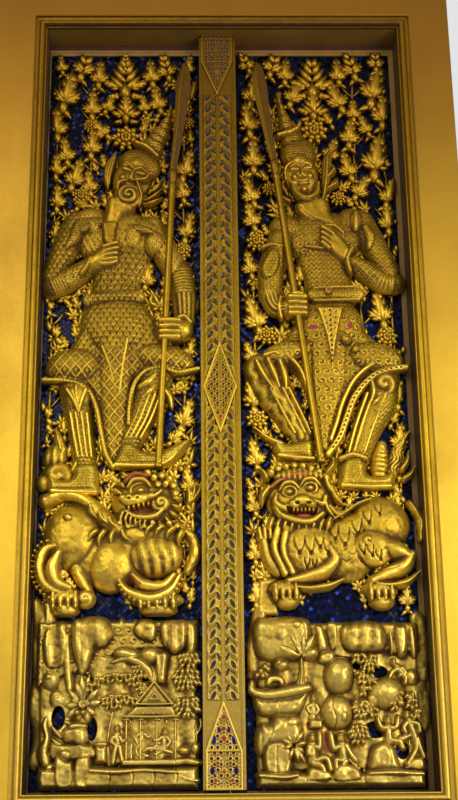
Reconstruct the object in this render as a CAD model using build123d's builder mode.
from build123d import *
from math import cos, pi, radians, sin
import os

# Carved temple door: a pair of pivot-hung leaves in a moulded frame, millimetres.
# +Z is up, the carved front faces -Y, and the origin is under the middle of the frame.

# Doorway between the inner edges of the casing
clear_width = 1200.0
clear_height = 2523.0
frame_depth = 190.0

# Casing round the doorway, mitred at its four corners
casing_width = 175.0
casing_thickness = 28.0
casing_slope = 20.0
moulding_width = 38.0
arris = 3.0

# Frame timbers behind the casing
timber_width = 70.0
reveal_depth = 108.0
heel_clearance = 2.5
leaf_end_clearance = 4.5

# Leaves
leaf_thickness = 55.0
leaf_lap = 22.0
leaf_end_lap = 20.0
leaf_clearance = 1.0
meeting_gap = 2.0
mosaic_thickness = 3.0
border_rise = 5.0
left_margin = 5.0
right_margin = 18.0
top_rail = 24.0
bead_height = 8.0
red_fillet = 13.0
foot_strip = 8.0

# Pivots and their sockets
pivot_radius = 15.0
pivot_seat = 40.0
socket_radius = 26.0
socket_height = 40.0
socket_floor = 6.0
running_clearance = 0.3
seat_clearance = 0.3

# Astragal that covers the meeting line, fixed to the left leaf
astragal_left = 81.0
astragal_lap = 44.0
astragal_rise = 64.0
astragal_clearance = 2.0
astragal_end_gap = 10.0
astragal_fillet = 9.0
astragal_sink = 5.0
rib_width = 12.0
rib_rise = 3.0
panel_rise = 8.0
panel_border = 9.0
square_height = 118.0
point_height = 138.0
lozenge_half_height = 146.0
lozenge_place = 0.484
scroll_pitch = 62.0
scroll_rise = 4.0

# Heights of the carving above the mosaic ground
screen_height = 23.0
relief_height = 80.0
shaft_radius = 12.0
shaft_height = 66.0

# The carver's drawing: the doorway squared up as 1185 by 2491 units
drawing_width = 1185.0
drawing_height = 2491.0
screen_spread = 1.007
large_leaf = 50.0

# Levels worked out from the sizes above
half_width = clear_width / 2
sill = casing_width
lintel = sill + clear_height
frame_front = -frame_depth / 2
frame_back = frame_depth / 2
casing_back = frame_front + casing_thickness
reveal_front = frame_front + casing_slope
stop_face = reveal_front + reveal_depth
leaf_front = stop_face + leaf_clearance
leaf_back = leaf_front + leaf_thickness
ground = leaf_front - mosaic_thickness
heel_radius = leaf_thickness / 2
leaf_edge = half_width + leaf_lap
pivot_x = leaf_edge - heel_radius
pivot_y = leaf_front + heel_radius
leaf_foot = sill - leaf_end_lap
leaf_head = lintel + leaf_end_lap
rebate_drop = leaf_end_lap + leaf_end_clearance
timber_outer = half_width + timber_width
rebate_face = leaf_edge + heel_clearance
meeting_edge = meeting_gap / 2
field_top = lintel - top_rail - bead_height - red_fillet
field_foot = sill + foot_strip
unit_x = clear_width / drawing_width
unit_z = clear_height / drawing_height
astragal_foot = sill + astragal_end_gap
astragal_head = lintel - astragal_end_gap
astragal_middle = (astragal_lap - astragal_left) / 2
astragal_face = ground - astragal_rise + astragal_sink + mosaic_thickness
astragal_edge = astragal_face - astragal_sink
panel_half = (astragal_left + astragal_lap) / 2 - arris

FACING = Plane(origin=(0, 0, 0), x_dir=(1, 0, 0), z_dir=(0, -1, 0))
SIDES = {"left": -1, "right": 1}


def save(piece, name):
    """Label a finished piece and write it."""
    piece.part.label = name
    export_step(piece.part, f"parts/{name}.step")


def facing(y):
    """Plane that looks toward the viewer at depth y."""
    return FACING.offset(-y)


def at(x, z):
    """Point of the drawing, in millimetres across the door and above the floor."""
    return x * unit_x, sill + z * unit_z


def flat_sided(rings):
    """Solid with flat sides between rings of matching corners."""
    faces = [Face(Wire.make_polygon(ring)) for ring in (rings[0], rings[-1])]
    for lower, upper in zip(rings, rings[1:]):
        for k in range(len(lower)):
            faces.append(Face(Wire.make_polygon([lower[k - 1], lower[k], upper[k], upper[k - 1]])))
    add(Solid(Shell(faces)))


def raised(points, height):
    """Corners of an outline lifted to a height above the ground."""
    return [(x, ground - height, z) for x, z in points]


def shrink(points, share):
    """The same outline drawn toward its middle."""
    middle_x = sum(x for x, z in points) / len(points)
    middle_z = sum(z for x, z in points) / len(points)
    return [(middle_x + (x - middle_x) * share, middle_z + (z - middle_z) * share) for x, z in points]


def oval(x, z, across, up, tilt, sides):
    """Corners of an oval with flat sides, its top leaning by tilt degrees to the right."""
    turn = radians(tilt)
    corners = []
    for k in range(sides):
        angle = 2 * pi * (k + 0.5) / sides
        dx = across * cos(angle)
        dz = up * sin(angle)
        px, pz = at(x + dx * cos(turn) + dz * sin(turn), z - dx * sin(turn) + dz * cos(turn))
        corners.append((px, pz))
    return corners


def slab(points, low, high, share=0.9):
    """Raised form: an outline in the drawing's units that narrows from one height to a higher one."""
    corners = [at(x, z) for x, z in points]
    flat_sided([raised(corners, low), raised(shrink(corners, share), high)])


def dome(x, z, across, up, low, high, tilt=0, sides=8):
    """Rounded form on an oval base, faceted as it comes from the gouge."""
    corners = oval(x, z, across, up, tilt, sides)
    shoulder = low + 0.62 * (high - low)
    rings = ((1.0, low), (0.86, shoulder), (0.42, high))
    flat_sided([raised(shrink(corners, share), height) for share, height in rings])


def limb(path, widths, share=0.6, sides=6):
    """Tapered form along a path of (x, z, height): half widths at its points, and half depths that are a share."""
    points = []
    for x, z, height in path:
        px, pz = at(x, z)
        points.append(Vector(px, ground - height, pz))
    for start, end, width, next_width in zip(points, points[1:], widths, widths[1:]):
        run = (end - start).normalized()
        across = run.cross(Vector(0, 1, 0)).normalized()
        depth = across.cross(run) * share
        rings = []
        for place, half in ((start, width), (end, next_width)):
            turns = [2 * pi * (n + 0.5) / sides for n in range(sides)]
            rings.append([place + across * (half * cos(t)) + depth * (half * sin(t)) for t in turns])
        flat_sided(rings)


def trim_back():
    """Cut the active piece off flush with the ground."""
    split(bisect_by=facing(ground), keep=Keep.TOP)


def lobed(x, z, size, tilt):
    """Corners of a leaf on its stalk, pointing tilt degrees to the right of straight up; large ones have five lobes."""
    if size > large_leaf:
        lobes = ((180, 0.3), (110, 0.8), (72, 0.5), (42, 1.0), (20, 0.6), (0, 1.2))
    else:
        lobes = ((180, 0.3), (72, 1.0), (34, 0.5), (0, 1.2))
    polar = [(angle, reach) for angle, reach in lobes]
    polar += [(-angle, reach) for angle, reach in reversed(lobes[1:-1])]
    corners = []
    for angle, reach in polar:
        turn = radians(tilt + angle)
        corners.append(at(x + size * reach * sin(turn), z + size * reach * cos(turn)))
    return corners


def mitred(profile, side):
    """One side of the casing: a profile of (distance outward, depth) cut at 45 degrees at both corners."""
    reach = casing_width
    edges = {
        "right": (Plane.XY.offset(sill - reach), lambda o, y: (half_width + o, y), clear_height, (1, 0)),
        "left": (Plane.XY.offset(sill - reach), lambda o, y: (-half_width - o, y), clear_height, (-1, 0)),
        "top": (Plane.YZ.offset(-half_width - reach), lambda o, y: (y, lintel + o), clear_width, (0, 1)),
        "bottom": (Plane.YZ.offset(-half_width - reach), lambda o, y: (y, sill - o), clear_width, (0, -1)),
    }
    plane, place, length, (out_x, out_z) = edges[side]
    with BuildPart() as piece:
        with BuildSketch(plane):
            with BuildLine():
                for start, middle, end in profile:
                    if middle is None:
                        Line(place(*start), place(*end))
                    else:
                        ThreePointArc(place(*start), place(*middle), place(*end))
            make_face()
        extrude(amount=length + 2 * reach)
        for step in (-1, 1):
            corner_x = out_x * half_width + out_z * out_z * step * half_width
            corner_z = (lintel + sill) / 2 + (out_z + out_x * out_x * step) * clear_height / 2
            normal = (out_x - out_z * out_z * step, 0, out_z - out_x * out_x * step)
            split(bisect_by=Plane(origin=(corner_x, 0, corner_z), z_dir=normal), keep=Keep.TOP)
    return piece


def straight(*points):
    """Closed run of straight profile lines through the points."""
    return [(a, None, b) for a, b in zip(points, points[1:] + points[:1])]


# Casing: flat boards with eased front edges, and a bead moulding inside them
board_profile = straight(
    (moulding_width, casing_back),
    (moulding_width, frame_front + arris),
    (moulding_width + arris, frame_front),
    (casing_width - arris, frame_front),
    (casing_width, frame_front + arris),
    (casing_width, casing_back),
)
thin_bead = 6.0
quirk = 2.0
main_bead = 19.0
bead_crown = frame_front + 5.0
lip_face = frame_front + 13.0
bead_profile = [
    ((0, casing_back), None, (0, reveal_front + quirk)),
    ((0, reveal_front + quirk), (thin_bead / 2, reveal_front - quirk), (thin_bead, reveal_front)),
    ((thin_bead, reveal_front), None, (thin_bead + quirk, reveal_front)),
    (
        (thin_bead + quirk, reveal_front),
        (thin_bead + quirk + main_bead / 2, bead_crown),
        (thin_bead + quirk + main_bead, lip_face + quirk),
    ),
    ((thin_bead + quirk + main_bead, lip_face + quirk), None, (moulding_width, lip_face)),
    ((moulding_width, lip_face), None, (moulding_width, casing_back)),
    ((moulding_width, casing_back), None, (0, casing_back)),
]

os.makedirs("parts", exist_ok=True)

for side in ("left", "right", "top", "bottom"):
    board = mitred(board_profile, side)
    save(board, f"casing_{side}")
    moulding = mitred(bead_profile, side)
    save(moulding, f"moulding_{side}")

# Jambs: rebated posts whose rear halves run past the front ones into the head and the threshold
for side, sign in SIDES.items():
    with BuildPart() as jamb:
        with BuildSketch(Plane.XY.offset(sill)):
            with BuildLine():
                Polyline(
                    (sign * half_width, casing_back),
                    (sign * timber_outer, casing_back),
                    (sign * timber_outer, stop_face),
                    (sign * half_width, stop_face),
                    close=True,
                )
            make_face()
        extrude(amount=clear_height)
        with BuildSketch(Plane.XY.offset(sill - rebate_drop)):
            with BuildLine():
                Polyline(
                    (sign * rebate_face, stop_face),
                    (sign * timber_outer, stop_face),
                    (sign * timber_outer, frame_back),
                    (sign * rebate_face, frame_back),
                    close=True,
                )
            make_face()
        extrude(amount=clear_height + 2 * rebate_drop)
    save(jamb, f"jamb_{side}")

# Head and threshold: rebated timbers with a round seat for each pivot socket
with BuildPart() as head:
    with BuildSketch(Plane.YZ.offset(-timber_outer)):
        with BuildLine():
            Polyline(
                (casing_back, lintel),
                (stop_face, lintel),
                (stop_face, lintel + rebate_drop),
                (frame_back, lintel + rebate_drop),
                (frame_back, lintel + timber_width),
                (casing_back, lintel + timber_width),
                close=True,
            )
        make_face()
    extrude(amount=2 * timber_outer)
    with Locations((-pivot_x, pivot_y, lintel + rebate_drop), (pivot_x, pivot_y, lintel + rebate_drop)):
        Cylinder(socket_radius, socket_height, align=(Align.CENTER, Align.CENTER, Align.MIN), mode=Mode.SUBTRACT)
save(head, "head")

with BuildPart() as threshold:
    with BuildSketch(Plane.YZ.offset(-timber_outer)):
        with BuildLine():
            Polyline(
                (casing_back, 0),
                (casing_back, sill),
                (stop_face, sill),
                (stop_face, sill - rebate_drop),
                (frame_back, sill - rebate_drop),
                (frame_back, 0),
                close=True,
            )
        make_face()
    extrude(amount=2 * timber_outer)
    with Locations((-pivot_x, pivot_y, sill - rebate_drop), (pivot_x, pivot_y, sill - rebate_drop)):
        Cylinder(socket_radius, socket_height, align=(Align.CENTER, Align.CENTER, Align.MAX), mode=Mode.SUBTRACT)
save(threshold, "threshold")

# Sockets and pivots: a cup for each end of each heel
bore_radius = pivot_radius + running_clearance
pivot_reach = leaf_end_clearance + socket_height - socket_floor - running_clearance
for side, sign in SIDES.items():
    for end, mouth, leaf_face, away in (
        ("top", lintel + rebate_drop, leaf_head, 1),
        ("bottom", sill - rebate_drop, leaf_foot, -1),
    ):
        low_end = (Align.CENTER, Align.CENTER, Align.MIN if away > 0 else Align.MAX)
        high_end = (Align.CENTER, Align.CENTER, Align.MAX if away > 0 else Align.MIN)
        with BuildPart() as socket:
            with Locations((sign * pivot_x, pivot_y, mouth)):
                Cylinder(socket_radius, socket_height, align=low_end)
                Cylinder(bore_radius, socket_height - socket_floor, align=low_end, mode=Mode.SUBTRACT)
        save(socket, f"socket_{side}_{end}")
        with BuildPart() as pivot:
            with Locations((sign * pivot_x, pivot_y, leaf_face)):
                Cylinder(pivot_radius, pivot_reach, align=low_end)
                Cylinder(pivot_radius, pivot_seat, align=high_end)
        save(pivot, f"{side}_pivot_{end}")

# Leaves: thick boards with a rounded heel round the pivot line
for side, sign in SIDES.items():
    with BuildPart() as leaf:
        with BuildSketch(Plane.XY.offset(leaf_foot)):
            with BuildLine():
                Polyline(
                    (sign * pivot_x, leaf_back),
                    (sign * meeting_edge, leaf_back),
                    (sign * meeting_edge, leaf_front),
                    (sign * pivot_x, leaf_front),
                )
                ThreePointArc(
                    (sign * pivot_x, leaf_front),
                    (sign * leaf_edge, pivot_y),
                    (sign * pivot_x, leaf_back),
                )
            make_face()
        extrude(amount=leaf_head - leaf_foot)
        with Locations((sign * pivot_x, pivot_y, leaf_head)):
            Cylinder(pivot_radius, pivot_seat, align=(Align.CENTER, Align.CENTER, Align.MAX), mode=Mode.SUBTRACT)
        with Locations((sign * pivot_x, pivot_y, leaf_foot)):
            Cylinder(pivot_radius, pivot_seat, align=(Align.CENTER, Align.CENTER, Align.MIN), mode=Mode.SUBTRACT)
    save(leaf, f"{side}_leaf")

# Fields of the two leaves, between the astragal and the hinge margin
fields = {
    "left": (-half_width + left_margin, -astragal_left),
    "right": (astragal_lap + arris, half_width - right_margin),
}
strip_edge = half_width - leaf_clearance
for side, sign in SIDES.items():
    inner, outer = sorted(fields[side], key=abs)
    mosaic_edge = inner if side == "left" else meeting_edge + meeting_gap
    with BuildPart() as mosaic:
        with BuildSketch(facing(leaf_front)):
            with BuildLine():
                Polyline(
                    (mosaic_edge, field_foot),
                    (outer, field_foot),
                    (outer, field_top),
                    (mosaic_edge, field_top),
                    close=True,
                )
            make_face()
        extrude(amount=mosaic_thickness)
    save(mosaic, f"{side}_mosaic")

    border_front = ground - border_rise
    with BuildPart() as border:
        with BuildSketch(facing(leaf_front)):
            with BuildLine():
                Polyline(
                    (inner, field_foot),
                    (inner, sill + meeting_gap),
                    (sign * strip_edge, sill + meeting_gap),
                    (sign * strip_edge, lintel - top_rail),
                    (inner, lintel - top_rail),
                    (inner, field_top),
                    (outer, field_top),
                    (outer, field_foot),
                    close=True,
                )
            make_face()
        extrude(amount=leaf_front - border_front)
        bead_low = lintel - top_rail - bead_height
        with BuildSketch(Plane.YZ.offset(min(inner, sign * strip_edge))):
            with BuildLine():
                Line((border_front, bead_low + bead_height), (border_front, bead_low))
                ThreePointArc(
                    (border_front, bead_low),
                    (border_front - bead_height / 2, bead_low + bead_height / 2),
                    (border_front, bead_low + bead_height),
                )
            make_face()
        extrude(amount=abs(sign * strip_edge - inner))
    save(border, f"{side}_border")

# Astragal board: raised fillets at its edges and a rib down the middle, rebated over the right leaf
rib_left = astragal_middle - rib_width / 2
rib_right = astragal_middle + rib_width / 2
with BuildPart() as astragal:
    with BuildSketch(Plane.XY.offset(astragal_foot)):
        with BuildLine():
            Polyline(
                (-astragal_left, leaf_front),
                (-astragal_left, astragal_edge),
                (-astragal_left + astragal_fillet, astragal_edge),
                (-astragal_left + astragal_fillet, astragal_face),
                (rib_left, astragal_face),
                (rib_left, astragal_face - rib_rise),
                (rib_right, astragal_face - rib_rise),
                (rib_right, astragal_face),
                (astragal_lap - astragal_fillet, astragal_face),
                (astragal_lap - astragal_fillet, astragal_edge),
                (astragal_lap, astragal_edge),
                (astragal_lap, ground - astragal_clearance),
                (-meeting_edge, ground - astragal_clearance),
                (-meeting_edge, leaf_front),
                close=True,
            )
        make_face()
    extrude(amount=astragal_head - astragal_foot)
save(astragal, "astragal")

# Panels on the astragal: a pointed one at each end and a lozenge between them
panel_left = astragal_middle - panel_half
panel_right = astragal_middle + panel_half
top_point = astragal_head - square_height - point_height
bottom_point = astragal_foot + square_height + point_height
lozenge_z = sill + lozenge_place * clear_height
panel_outlines = {
    "top_panel": [
        (panel_left, astragal_head - arris),
        (panel_right, astragal_head - arris),
        (panel_right, astragal_head - square_height),
        (astragal_middle, top_point),
        (panel_left, astragal_head - square_height),
    ],
    "lozenge": [
        (astragal_middle, lozenge_z + lozenge_half_height),
        (panel_right, lozenge_z),
        (astragal_middle, lozenge_z - lozenge_half_height),
        (panel_left, lozenge_z),
    ],
    "bottom_panel": [
        (panel_left, astragal_foot + arris),
        (panel_right, astragal_foot + arris),
        (panel_right, astragal_foot + square_height),
        (astragal_middle, bottom_point),
        (panel_left, astragal_foot + square_height),
    ],
}
for name, corners in panel_outlines.items():
    with BuildPart() as panel:
        with BuildSketch(facing(astragal_face)):
            with BuildLine():
                Polyline(*corners, close=True)
            make_face()
        extrude(amount=panel_rise)
        with BuildSketch(facing(astragal_face - panel_rise)):
            with BuildLine():
                Polyline(*corners, close=True)
            make_face()
            offset(amount=-panel_border, kind=Kind.INTERSECTION, mode=Mode.REPLACE)
        extrude(amount=-panel_rise / 2, mode=Mode.SUBTRACT)
        add(astragal.part, mode=Mode.SUBTRACT)
    save(panel, f"astragal_{name}")

# Scroll carving: slanting leaves on each side of the rib, between the panels
leaf_half = 9.0
column_reach = (panel_half - astragal_fillet - rib_width / 2) / 2
lozenge_low = lozenge_z - lozenge_half_height
lozenge_high = lozenge_z + lozenge_half_height
with BuildPart() as scroll:
    with BuildSketch(facing(astragal_face)):
        for low_z, high_z in ((bottom_point, lozenge_low), (lozenge_high, top_point)):
            rows = int((high_z - low_z) / scroll_pitch)
            pitch = (high_z - low_z) / rows
            for sign in (-1, 1):
                stem_x = astragal_middle + sign * (rib_width / 2 + arris + column_reach)
                for n in range(rows):
                    base_z = low_z + n * pitch
                    with BuildLine():
                        Polyline(
                            (stem_x - sign * column_reach, base_z),
                            (stem_x + sign * column_reach * 0.3, base_z + pitch * 0.25),
                            (stem_x + sign * column_reach, base_z + pitch * 0.9),
                            (stem_x - sign * leaf_half, base_z + pitch * 0.6),
                            close=True,
                        )
                    make_face()
    extrude(amount=scroll_rise)
save(scroll, "astragal_scroll")

# Halberds: a six-sided shaft with a knob at its foot, and a curved blade on its collar
halberds = {
    "left": ((-213, 958), (-168, 1975), (-128, 2385)),
    "right": ((291, 971), (166, 2010), (116, 2385)),
}
blade_half = 27.0
blade_low = shaft_height - 7.0
blade_high = shaft_height + 7.0
knob_height = 14.0
shafts = {}
for side, ((foot_x, foot_z), (collar_x, collar_z), (tip_x, tip_z)) in halberds.items():
    lean = (collar_x - foot_x) / (collar_z - foot_z)
    blade_foot = collar_z + shaft_radius * abs(lean) + seat_clearance
    with BuildPart() as shaft:
        limb(
            [
                (foot_x, foot_z, shaft_height),
                (foot_x + lean * knob_height, foot_z + knob_height, shaft_height),
                (foot_x + lean * 2 * knob_height, foot_z + 2 * knob_height, shaft_height),
                (collar_x, collar_z, shaft_height),
            ],
            [shaft_radius * 0.9, shaft_radius * 1.2, shaft_radius * 0.9, shaft_radius],
            1.0,
        )
    save(shaft, f"{side}_halberd_shaft")
    shafts[side] = shaft.part
    with BuildPart() as blade:
        span_x = tip_x - collar_x
        span_z = tip_z - collar_z
        slab(
            [
                (collar_x - shaft_radius, blade_foot),
                (collar_x + shaft_radius, blade_foot),
                (collar_x + 0.28 * span_x + blade_half * 0.6, collar_z + 0.25 * span_z),
                (collar_x + 0.62 * span_x + blade_half, collar_z + 0.62 * span_z),
                (collar_x + 0.85 * span_x + blade_half * 0.8, collar_z + 0.84 * span_z),
                (tip_x, tip_z),
                (collar_x + 0.8 * span_x - blade_half * 0.7, collar_z + 0.8 * span_z),
                (collar_x + 0.5 * span_x - blade_half * 0.6, collar_z + 0.5 * span_z),
            ],
            blade_low,
            blade_high,
            0.8,
        )
    save(blade, f"{side}_halberd_blade")

# Guardians: bearded men in scale armour, each with one hand on the halberd and one at the breast
crown = [34, 29, 22, 14, 4]
with BuildPart() as left_guardian:
    slab(
        [
            (-450, 1500), (-250, 1500), (-205, 1400), (-95, 1300), (-95, 1270), (-180, 1282), (-265, 1255),
            (-300, 1190), (-315, 1080), (-350, 962), (-385, 1010), (-405, 1150), (-450, 1235), (-572, 1240),
            (-560, 1275), (-480, 1380),
        ],
        0, 46, 0.92,
    )
    slab([(-398, 1330), (-300, 1330), (-312, 1080), (-350, 975), (-386, 1090)], 20, 60)
    dome(-352, 1450, 105, 92, 0, 62)
    limb([(-352, 1500, 32), (-348, 1700, 34)], [82, 112], 0.36)
    dome(-345, 1765, 135, 92, 0, 66, 0, 10)
    dome(-470, 1802, 44, 50, 10, 64)
    dome(-232, 1790, 48, 52, 10, 64)
    limb([(-478, 1805, 40), (-546, 1605, 48)], [46, 42])
    limb([(-552, 1588, 48), (-436, 1656, 62)], [42, 30])
    limb([(-442, 1653, 66), (-366, 1692, 70)], [34, 38], 0.26)
    limb([(-242, 1785, 40), (-148, 1610, 44)], [48, 44])
    limb([(-140, 1625, 44), (-128, 1440, 52)], [44, 34])
    limb([(-210, 1425, 64), (-118, 1425, 62)], [40, 36], 0.4)
    limb([(-358, 1775, 44), (-332, 1880, 50)], [54, 46], 0.5)
    dome(-300, 1962, 64, 98, 18, 76, 18, 10)
    dome(-318, 1893, 34, 34, 50, 80)
    slab([(-290, 1975), (-262, 1968), (-278, 1915), (-296, 1922)], 60, 80, 0.6)
    limb([(-266, 2040, 44), (-240, 2085, 44), (-219, 2122, 44), (-203, 2155, 42), (-178, 2215, 40)], crown)
    slab([(-392, 1960), (-372, 1938), (-345, 1975), (-345, 2035), (-372, 2060)], 20, 50)
    limb([(-478, 1235, 36), (-458, 1120, 36), (-436, 950, 36)], [60, 48, 38])
    limb([(-235, 1255, 36), (-265, 1150, 36), (-300, 1020, 36)], [60, 48, 38])
    slab(
        [(-400, 882), (-400, 965), (-462, 968), (-480, 935), (-544, 950), (-548, 905), (-532, 882)],
        0, 64,
    )
    slab(
        [
            (-352, 966), (-352, 1035), (-290, 1050), (-230, 1018), (-122, 1056), (-112, 1040),
            (-150, 988), (-200, 964),
        ],
        0, 60,
    )
    trim_back()
    add(shafts["left"], mode=Mode.SUBTRACT)
save(left_guardian, "left_guardian")

with BuildPart() as right_guardian:
    slab(
        [
            (255, 1500), (430, 1500), (500, 1385), (562, 1300), (560, 1276), (470, 1262), (405, 1190),
            (352, 1062), (306, 1002), (286, 1062), (270, 1180), (218, 1275), (110, 1292), (76, 1288),
            (90, 1318), (190, 1400),
        ],
        0, 46, 0.92,
    )
    slab([(285, 1492), (382, 1492), (335, 1272)], 20, 60)
    dome(338, 1450, 100, 90, 0, 54)
    limb([(258, 1532, 34), (424, 1532, 34)], [28, 28], 1.2)
    limb([(338, 1500, 32), (326, 1700, 34)], [82, 108], 0.36)
    dome(320, 1768, 135, 92, 0, 64, 0, 10)
    dome(202, 1787, 46, 50, 10, 52)
    dome(440, 1810, 46, 52, 10, 64)
    limb([(190, 1775, 38), (140, 1612, 42)], [46, 42])
    limb([(134, 1622, 42), (198, 1500, 50)], [42, 30])
    limb([(194, 1497, 62), (262, 1497, 64)], [38, 38], 0.4)
    limb([(448, 1805, 42), (532, 1632, 46)], [46, 42])
    limb([(540, 1606, 46), (412, 1656, 60)], [42, 30])
    limb([(420, 1652, 64), (342, 1716, 70)], [38, 40], 0.26)
    limb([(316, 1790, 44), (286, 1880, 48)], [56, 46], 0.5)
    dome(260, 1962, 60, 102, 18, 76, -6, 10)
    dome(262, 1892, 34, 26, 50, 78)
    slab([(240, 1985), (266, 1988), (262, 1935), (246, 1932)], 60, 80, 0.6)
    dome(258, 2055, 54, 48, 18, 66)
    limb([(252, 2088, 44), (230, 2126, 44), (213, 2160, 44), (202, 2192, 42), (188, 2275, 40)], crown)
    slab([(312, 1905), (334, 1962), (330, 2055), (300, 2080), (298, 1960)], 20, 46)
    limb([(138, 1268, 36), (188, 1168, 36), (236, 1062, 36)], [62, 50, 38])
    limb([(488, 1222, 36), (450, 1115, 36), (394, 965, 36)], [62, 50, 38])
    slab(
        [(268, 992), (272, 1075), (205, 1085), (175, 1050), (95, 1095), (88, 1080), (138, 1035), (148, 994)],
        0, 60,
    )
    slab(
        [(346, 899), (352, 985), (425, 985), (445, 955), (500, 930), (514, 958), (520, 940), (500, 900)],
        0, 62,
    )
    trim_back()
    add(shafts["right"], mode=Mode.SUBTRACT)
save(right_guardian, "right_guardian")

# Lions: crouching beasts under the guardians' boots, with rolled cuffs above their paws
with BuildPart() as left_lion:
    dome(-478, 757, 84, 104, 0, 74, 0, 10)
    dome(-345, 674, 84, 90, 0, 66)
    dome(-226, 690, 98, 80, 0, 74, 0, 10)
    dome(-236, 775, 112, 56, 0, 54)
    dome(-238, 862, 104, 92, 0, 70, 0, 10)
    dome(-268, 838, 52, 36, 40, 80)
    dome(-282, 893, 24, 16, 50, 76, 0, 6)
    dome(-205, 900, 26, 16, 50, 72, 0, 6)
    slab([(-345, 905), (-362, 935), (-330, 950), (-300, 930)], 10, 48)
    slab([(-345, 850), (-385, 832), (-360, 880)], 10, 40)
    limb([(-420, 846, 24), (-345, 796, 24), (-300, 762, 24)], [24, 24, 24], 0.9)
    limb([(-478, 700, 36), (-498, 625, 40), (-470, 560, 40)], [60, 52, 46])
    slab(
        [
            (-560, 726), (-578, 690), (-574, 630), (-545, 580), (-500, 566), (-470, 574), (-505, 600),
            (-528, 640), (-530, 690), (-512, 716),
        ],
        0, 56, 0.96,
    )
    dome(-470, 543, 74, 38, 0, 68)
    dome(-202, 534, 100, 30, 0, 70)
    limb([(-225, 640, 40), (-212, 560, 40)], [66, 62], 0.55)
    slab(
        [
            (-318, 602), (-300, 570), (-235, 552), (-165, 570), (-118, 640), (-150, 628), (-185, 600),
            (-240, 588), (-290, 610),
        ],
        20, 78, 0.94,
    )
    dome(-112, 690, 20, 52, 0, 50, 0, 6)
    dome(-548, 1020, 34, 60, 0, 40)
    trim_back()
    add(left_guardian.part, mode=Mode.SUBTRACT)
save(left_lion, "left_lion")

with BuildPart() as right_lion:
    dome(228, 876, 112, 90, 0, 70, 0, 10)
    dome(235, 862, 56, 34, 40, 80)
    dome(190, 905, 24, 16, 50, 76, 0, 6)
    dome(262, 915, 24, 16, 50, 76, 0, 6)
    dome(228, 815, 96, 30, 0, 56)
    dome(318, 912, 24, 40, 0, 44, 0, 6)
    dome(100, 850, 26, 40, 0, 44, 0, 6)
    dome(250, 692, 92, 98, 0, 72, 0, 10)
    dome(352, 706, 68, 96, 0, 62)
    dome(470, 792, 90, 94, 0, 74, 0, 10)
    limb([(410, 786, 32), (310, 790, 26)], [42, 30], 0.7)
    limb([(440, 740, 38), (530, 692, 42)], [54, 42])
    limb([(545, 690, 42), (430, 610, 46)], [30, 34], 0.8)
    slab([(425, 588), (520, 598), (570, 640), (520, 616), (440, 622)], 0, 56, 0.94)
    limb([(322, 668, 46), (290, 632, 48), (190, 612, 48)], [34, 34, 34], 0.8)
    slab([(180, 600), (215, 574), (290, 588), (346, 606), (320, 626), (250, 602)], 0, 60, 0.94)
    dome(172, 548, 54, 44, 0, 68)
    dome(455, 545, 54, 40, 0, 66)
    limb([(455, 600, 34), (452, 570, 34)], [44, 46], 0.6)
    dome(112, 700, 28, 60, 0, 46, 0, 6)
    trim_back()
    add(right_guardian.part, mode=Mode.SUBTRACT)
save(right_lion, "right_lion")

# Rocks: overhanging masses under the lions, boulders, and the ledge at the foot of each leaf
with BuildPart() as left_rocks:
    slab([(-572, 496), (-92, 496), (-92, 415), (-330, 415), (-410, 330), (-460, 338), (-572, 300)], 0, 34, 0.96)
    dome(-440, 440, 100, 60, 0, 62)
    dome(-530, 420, 38, 72, 0, 54)
    dome(-235, 455, 42, 42, 0, 60)
    dome(-158, 450, 38, 46, 0, 58)
    dome(-266, 388, 74, 30, 0, 64)
    slab([(-572, 300), (-535, 300), (-522, 200), (-528, 78), (-572, 78)], 0, 36)
    slab([(-512, 80), (-512, 125), (-488, 190), (-412, 194), (-402, 130), (-416, 80)], 0, 60)
    slab([(-156, 80), (-156, 112), (-130, 126), (-92, 112), (-92, 80)], 0, 44)
    slab([(-556, 78), (-92, 78), (-92, 12), (-556, 12)], 0, 66, 0.96)
save(left_rocks, "left_rocks")

with BuildPart() as right_rocks:
    slab([(80, 486), (560, 486), (560, 400), (490, 388), (470, 410), (250, 410), (92, 418)], 0, 34, 0.96)
    dome(165, 448, 84, 46, 0, 60)
    dome(395, 440, 78, 48, 0, 62)
    dome(522, 430, 32, 52, 0, 58)
    dome(282, 438, 28, 48, 0, 46)
    dome(330, 325, 50, 50, 0, 62)
    dome(468, 272, 58, 54, 0, 66)
    dome(310, 218, 42, 42, 0, 56)
    dome(445, 112, 44, 46, 0, 56)
    dome(536, 88, 26, 22, 0, 44)
    slab([(62, 300), (92, 272), (212, 276), (232, 292), (214, 240), (150, 218), (78, 236)], 0, 56)
    slab([(78, 58), (74, 166), (112, 210), (188, 198), (206, 150), (200, 58)], 0, 64)
    slab([(76, 58), (560, 58), (560, 12), (76, 12)], 0, 66, 0.96)
save(right_rocks, "right_rocks")

# Gardens: a flowering plant and trees whose foliage lies in pads
with BuildPart() as left_garden:
    corners = lobed(-430, 268, 62, 8)
    flat_sided([raised(corners, 0), raised(shrink(corners, 0.86), 50)])
    dome(-325, 324, 72, 21, 0, 54)
    dome(-262, 352, 26, 16, 0, 58)
    dome(-330, 270, 40, 17, 0, 54)
    limb([(-352, 80, 18), (-338, 262, 18)], [16, 11], 1.0)
    limb([(-382, 80, 30), (-382, 140, 30)], [24, 27], 1.0)
    dome(-122, 378, 32, 22, 0, 58)
    dome(-126, 325, 36, 28, 0, 60)
    dome(-126, 246, 34, 26, 0, 60)
    limb([(-110, 116, 16), (-106, 300, 16)], [10, 8], 1.2)
    add(left_rocks.part, mode=Mode.SUBTRACT)
save(left_garden, "left_garden")

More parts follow.
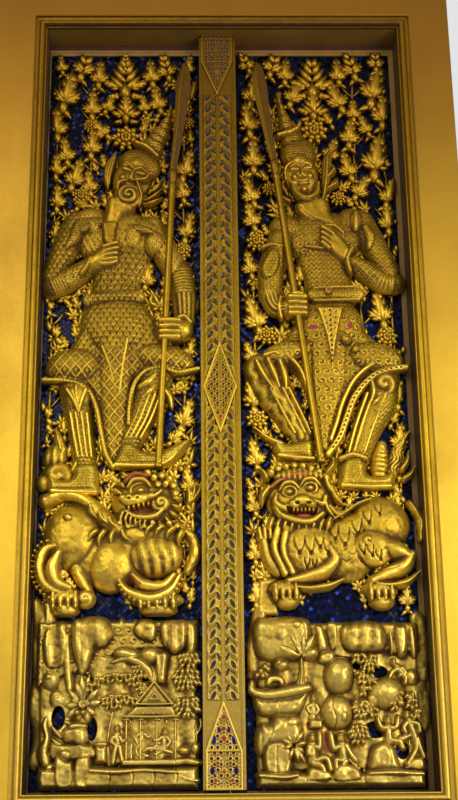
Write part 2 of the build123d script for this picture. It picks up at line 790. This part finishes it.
with BuildPart() as right_garden:
    corners = lobed(215, 392, 62, 0)
    flat_sided([raised(corners, 0), raised(shrink(corners, 0.86), 72)])
    limb([(212, 285, 40), (214, 375, 40)], [11, 11], 1.3)
    dome(412, 372, 24, 24, 0, 58)
    dome(406, 320, 24, 26, 0, 58)
    dome(388, 240, 34, 26, 0, 58)
    dome(372, 168, 32, 24, 0, 54)
    limb([(378, 60, 16), (380, 290, 16)], [10, 8], 1.2)
    dome(182, 130, 26, 30, 0, 74)
    add(right_rocks.part, mode=Mode.SUBTRACT)
save(right_garden, "right_garden")

# Pavilion: a gable over a lower roof on four posts
with BuildPart() as pavilion:
    slab([(-274, 250), (-222, 316), (-170, 250)], 0, 48)
    slab([(-312, 218), (-276, 256), (-170, 256), (-166, 218)], 0, 56, 0.94)
    for post_x in (-300, -262, -214, -176):
        limb([(post_x, 84, 30), (post_x, 224, 30)], [7, 7], 1.2)
    slab([(-312, 79), (-312, 96), (-164, 96), (-164, 79)], 0, 60, 0.94)
save(pavilion, "pavilion")


def person(x, z, height, lean, low, high):
    """Small figure: legs, a body that leans to one side, and a head."""
    reach = high - low
    hip_z = z + 0.42 * height
    neck_z = z + 0.78 * height
    slab(
        [(x - 14, z), (x + 14, z), (x + 11, hip_z), (x - 11, hip_z)],
        low, low + 0.8 * reach, 0.85,
    )
    slab(
        [(x - 12, hip_z - 4), (x + 12, hip_z - 4), (x + lean + 15, neck_z), (x + lean - 15, neck_z)],
        low, low + 0.9 * reach, 0.85,
    )
    dome(x + lean * 1.2, neck_z + 0.1 * height, 10, 0.12 * height, low, high, 0, 6)


# Small figures of the garden scenes
with BuildPart() as left_figures:
    person(-328, 82, 100, 0, 0, 58)
    person(-238, 100, 86, -4, 0, 44)
    person(-195, 100, 78, 4, 0, 44)
    for rest_on in (left_rocks, left_garden, pavilion):
        add(rest_on.part, mode=Mode.SUBTRACT)
save(left_figures, "left_figures")

with BuildPart() as right_figures:
    person(242, 62, 104, -4, 0, 66)
    person(316, 62, 100, 4, 0, 62)
    person(462, 150, 62, 0, 0, 50)
    person(515, 112, 100, 4, 0, 50)
    person(498, 322, 54, -6, 0, 54)
    for rest_on in (right_rocks, right_garden):
        add(rest_on.part, mode=Mode.SUBTRACT)
save(right_figures, "right_figures")

# Openwork screens: sprays of lobed leaves and roses joined by stalks, cut round the figures
sprays = {
    "left": [
        (-545, 2375, 32, -8), (-478, 2372, 52, 14), (-420, 2335, 44, 4),
        (-328, 2325, 76, 0), (-238, 2340, 44, -6), (-184, 2362, 46, -14),
        (-535, 2262, 62, 12), (-440, 2215, 46, 0), (-392, 2225, 34, 20), (-262, 2222, 32, -10),
        (-212, 2235, 44, -14), (-113, 2265, 40, 20), (-556, 2140, 50, -4), (-328, 2150, 56, 0),
        (-392, 2130, 40, -40), (-440, 2070, 46, 4), (-520, 2040, 44, -10), (-556, 1985, 40, 0),
        (-500, 1955, 50, 16), (-440, 1925, 40, -8), (-132, 1985, 52, 16), (-134, 1900, 42, -10),
        (-550, 1870, 42, 0), (-478, 1865, 36, 30), (-125, 1760, 48, 14), (-140, 1690, 36, 0),
        (-255, 1590, 42, 10), (-540, 1410, 46, -40), (-560, 1140, 40, -30),
        (-138, 1120, 48, 20), (-112, 905, 40, -10), (-556, 1750, 36, 10),
    ],
    "right": [
        (88, 2385, 40, -20), (165, 2378, 48, 16),
        (213, 2345, 42, 4), (305, 2320, 74, 0), (396, 2345, 42, -4), (448, 2368, 48, -14),
        (525, 2390, 40, 0), (96, 2265, 52, 10), (232, 2262, 46, 20), (398, 2245, 50, -20),
        (508, 2280, 66, 14), (305, 2185, 66, 0), (440, 2195, 36, 0), (538, 2185, 52, 4),
        (422, 2105, 46, 6), (486, 2140, 36, -20), (88, 2155, 54, -6), (505, 2010, 68, 10),
        (422, 1985, 46, -14), (352, 2045, 40, 20), (100, 2020, 52, 0), (96, 1890, 46, -16),
        (540, 1885, 46, 16), (440, 1910, 42, 30), (540, 1790, 46, 0),
        (96, 1800, 44, -14), (105, 1725, 38, 0), (86, 1630, 42, -10), (104, 1450, 56, -16),
        (135, 1390, 34, 0), (506, 1470, 54, -10), (85, 1180, 48, -8),
        (96, 1120, 36, 0), (540, 1185, 44, 6), (535, 1040, 42, 10), (472, 1005, 34, 0),
        (82, 690, 36, -6), (535, 550, 36, 0),
    ],
}
stalk_lines = {"left": (-556, -440, -132), "right": (92, 305, 440, 538)}
stalk_half = 4.0
stalk_ends = {"left": (870, 2380), "right": (1000, 2380)}
carved = {
    "left": (left_guardian, left_lion, left_rocks),
    "right": (right_guardian, right_lion, right_rocks),
}
for side, places in sprays.items():
    field_inner, field_outer = sorted(fields[side], key=abs)
    with BuildPart() as screen:
        with BuildSketch(facing(ground)):
            for x, z, size, tilt in places:
                with BuildLine():
                    Polyline(*lobed(x * screen_spread, z * screen_spread, size, tilt), close=True)
                make_face()
            low_z, high_z = stalk_ends[side]
            for stalk_x in stalk_lines[side]:
                middle = at(stalk_x * screen_spread, (low_z + high_z) / 2 * screen_spread)
                with Locations(middle):
                    Rectangle(2 * stalk_half, (high_z - low_z) * unit_z)
            field_middle = ((field_inner + field_outer) / 2, (field_foot + field_top) / 2)
            with Locations(field_middle):
                keep_width = abs(field_outer - field_inner) - 2 * arris
                Rectangle(keep_width, field_top - field_foot - 2 * arris, mode=Mode.INTERSECT)
        extrude(amount=screen_height)
        for figure in carved[side]:
            add(figure.part, mode=Mode.SUBTRACT)
    save(screen, f"{side}_screen")
